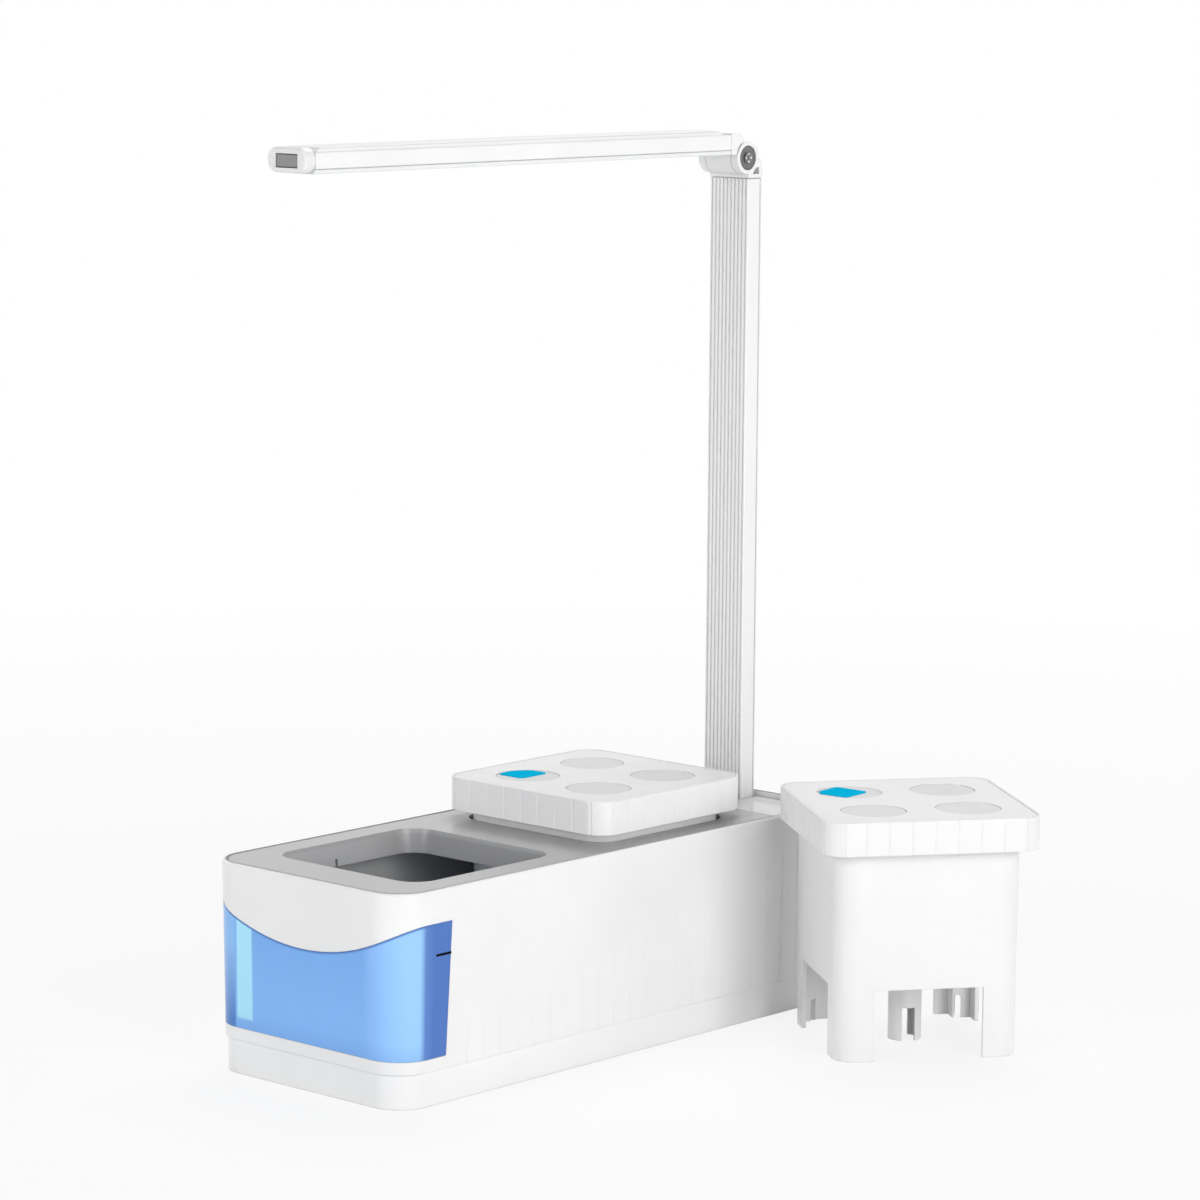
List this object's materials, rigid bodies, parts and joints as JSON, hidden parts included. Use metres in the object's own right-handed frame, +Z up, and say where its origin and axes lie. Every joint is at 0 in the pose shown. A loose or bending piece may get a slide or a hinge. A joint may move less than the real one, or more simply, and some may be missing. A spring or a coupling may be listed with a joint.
{
  "type": "countertop hydroponic planter with grow lamp",
  "caption": "Long white water tank with a blue front window and a grey deck for lift-out lidded planters, under a slim grow lamp arm that folds on a tall ribbed post.",
  "frame": {"origin": "middle of the tank's underside, on the table's surface", "axes": "+Z up, -Y towards the tank's window end, +X towards the long side that the spare planter stands by"},
  "size_m": [0.3076, 0.3993, 0.4931],
  "materials": {
    "white_shell": "satin",
    "base_white": "satin",
    "rubber": "matte",
    "window_blue": "tinted clear plastic",
    "mark_black": "printed",
    "deck_grey": "satin",
    "cover_white": "polished",
    "steel": "plated",
    "board_green": "solder mask",
    "parts_dark": "matte",
    "black_plastic": "matte",
    "lamp_white": "powder coat",
    "hinge_white": "satin",
    "washer_nylon": "natural nylon",
    "cap_dark": "satin",
    "board_white": "solder mask",
    "led": "clear resin",
    "diffuser_milk": "opal",
    "button_grey": "satin",
    "planter_white": "satin",
    "plug_grey": "fine texture",
    "tab_blue": "film"
  },
  "bodies": {
    "tank": {"base_pan": "base_white", "rubber_feet": "rubber", "tank_shell": "white_shell", "water_window": "window_blue", "level_mark": "mark_black", "deck_plate": "deck_grey", "bay_wall": "base_white", "lamp_cover": "cover_white", "post_bracket": "steel", "bracket_screws": "steel", "driver_board": "board_green", "driver_parts": "parts_dark", "board_screws": "steel", "dc_inlet": "black_plastic", "post": "lamp_white", "post_lead": "black_plastic", "post_saddle": "hinge_white", "saddle_screws": "steel", "hinge_pin": "steel", "friction_washers": "washer_nylon", "hinge_caps": "cap_dark", "hinge_screws": "steel"},
    "lamp_arm": {"arm_knuckle": "hinge_white", "knuckle_screws": "steel", "arm_housing": "lamp_white", "arm_top_strip": "lamp_white", "led_board": "board_white", "leds": "led", "diffuser": "diffuser_milk", "arm_end_cap": "hinge_white", "switch_module": "black_plastic"},
    "lamp_switch": {"switch_button": "button_grey"},
    "rear_planter": {"rear_pot": "planter_white"},
    "rear_lid": {"rear_lid_ring": "planter_white", "rear_lid_panel": "planter_white"},
    "rear_plug_blue_body": {"rear_blue_plug": "plug_grey", "rear_blue_tab": "tab_blue"},
    "rear_plug_1_body": {"rear_plug_1": "plug_grey"},
    "rear_plug_2_body": {"rear_plug_2": "plug_grey"},
    "rear_plug_3_body": {"rear_plug_3": "plug_grey"},
    "side_planter": {"side_pot": "planter_white"},
    "side_lid": {"side_lid_ring": "planter_white", "side_lid_panel": "planter_white"},
    "side_plug_blue_body": {"side_blue_plug": "plug_grey", "side_blue_tab": "tab_blue"},
    "side_plug_1_body": {"side_plug_1": "plug_grey"},
    "side_plug_2_body": {"side_plug_2": "plug_grey"},
    "side_plug_3_body": {"side_plug_3": "plug_grey"}
  },
  "joints": [
    {"name": "arm_fold", "type": "hinge", "parent": "tank", "child": "lamp_arm", "pos_m": [0, 0.159, 0.4775], "axis": [1, 0, 0], "range_deg": [-90, 90]},
    {"name": "switch_press", "type": "slide", "parent": "lamp_arm", "child": "lamp_switch", "axis": [0, 1, 0], "range_m": [0, 0.0008], "stiffness_N_per_m": 400, "springref_m": -0.001},
    {"name": "rear_planter_lift", "type": "slide", "parent": "tank", "child": "rear_planter", "axis": [0, 0, 1], "range_m": [0, 0.14]},
    {"name": "rear_lid_lift", "type": "slide", "parent": "rear_planter", "child": "rear_lid", "axis": [0, 0, 1], "range_m": [0, 0.03]},
    {"name": "rear_plug_blue_lift", "type": "slide", "parent": "rear_lid", "child": "rear_plug_blue_body", "axis": [0, 0, 1], "range_m": [0, 0.02]},
    {"name": "rear_plug_1_lift", "type": "slide", "parent": "rear_lid", "child": "rear_plug_1_body", "axis": [0, 0, 1], "range_m": [0, 0.02]},
    {"name": "rear_plug_2_lift", "type": "slide", "parent": "rear_lid", "child": "rear_plug_2_body", "axis": [0, 0, 1], "range_m": [0, 0.02]},
    {"name": "rear_plug_3_lift", "type": "slide", "parent": "rear_lid", "child": "rear_plug_3_body", "axis": [0, 0, 1], "range_m": [0, 0.02]},
    {"name": "side_planter_lift", "type": "slide", "parent": "tank", "child": "side_planter", "axis": [0, 0, 1], "range_m": [0, 0.14]},
    {"name": "side_lid_lift", "type": "slide", "parent": "side_planter", "child": "side_lid", "axis": [0, 0, 1], "range_m": [0, 0.03]},
    {"name": "side_plug_blue_lift", "type": "slide", "parent": "side_lid", "child": "side_plug_blue_body", "axis": [0, 0, 1], "range_m": [0, 0.02]},
    {"name": "side_plug_1_lift", "type": "slide", "parent": "side_lid", "child": "side_plug_1_body", "axis": [0, 0, 1], "range_m": [0, 0.02]},
    {"name": "side_plug_2_lift", "type": "slide", "parent": "side_lid", "child": "side_plug_2_body", "axis": [0, 0, 1], "range_m": [0, 0.02]},
    {"name": "side_plug_3_lift", "type": "slide", "parent": "side_lid", "child": "side_plug_3_body", "axis": [0, 0, 1], "range_m": [0, 0.02]}
  ]
}
